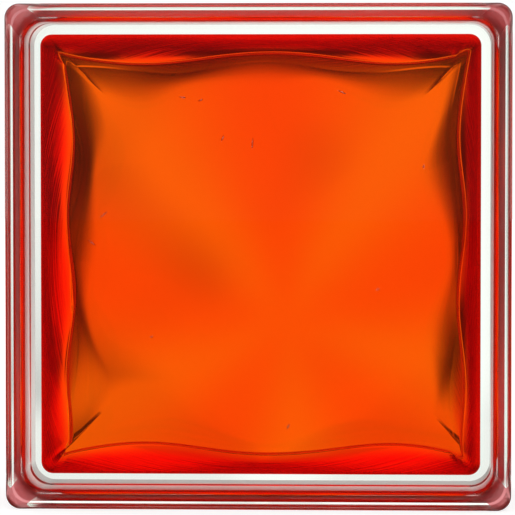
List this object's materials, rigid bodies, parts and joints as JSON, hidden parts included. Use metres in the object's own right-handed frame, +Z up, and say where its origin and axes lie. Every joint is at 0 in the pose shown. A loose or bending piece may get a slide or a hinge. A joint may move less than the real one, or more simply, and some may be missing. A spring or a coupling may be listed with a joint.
{
  "type": "glass block",
  "caption": "Square hollow glass building block with wavy inner faces, a red-orange film inside, clear lips and a mortar key round its sides.",
  "frame": {"origin": "on the ground under the middle of the block, which stands on the lower edges of its two lips", "axes": "+X along the width, +Y from the front face to the rear face, through the block's depth, +Z up"},
  "size_m": [0.19, 0.08, 0.19],
  "materials": {
    "glass": "clear pressed glass, coloured by a red-orange film on the walls of the hollow"
  },
  "bodies": {
    "root": {"glass_block": "glass"}
  },
  "joints": []
}
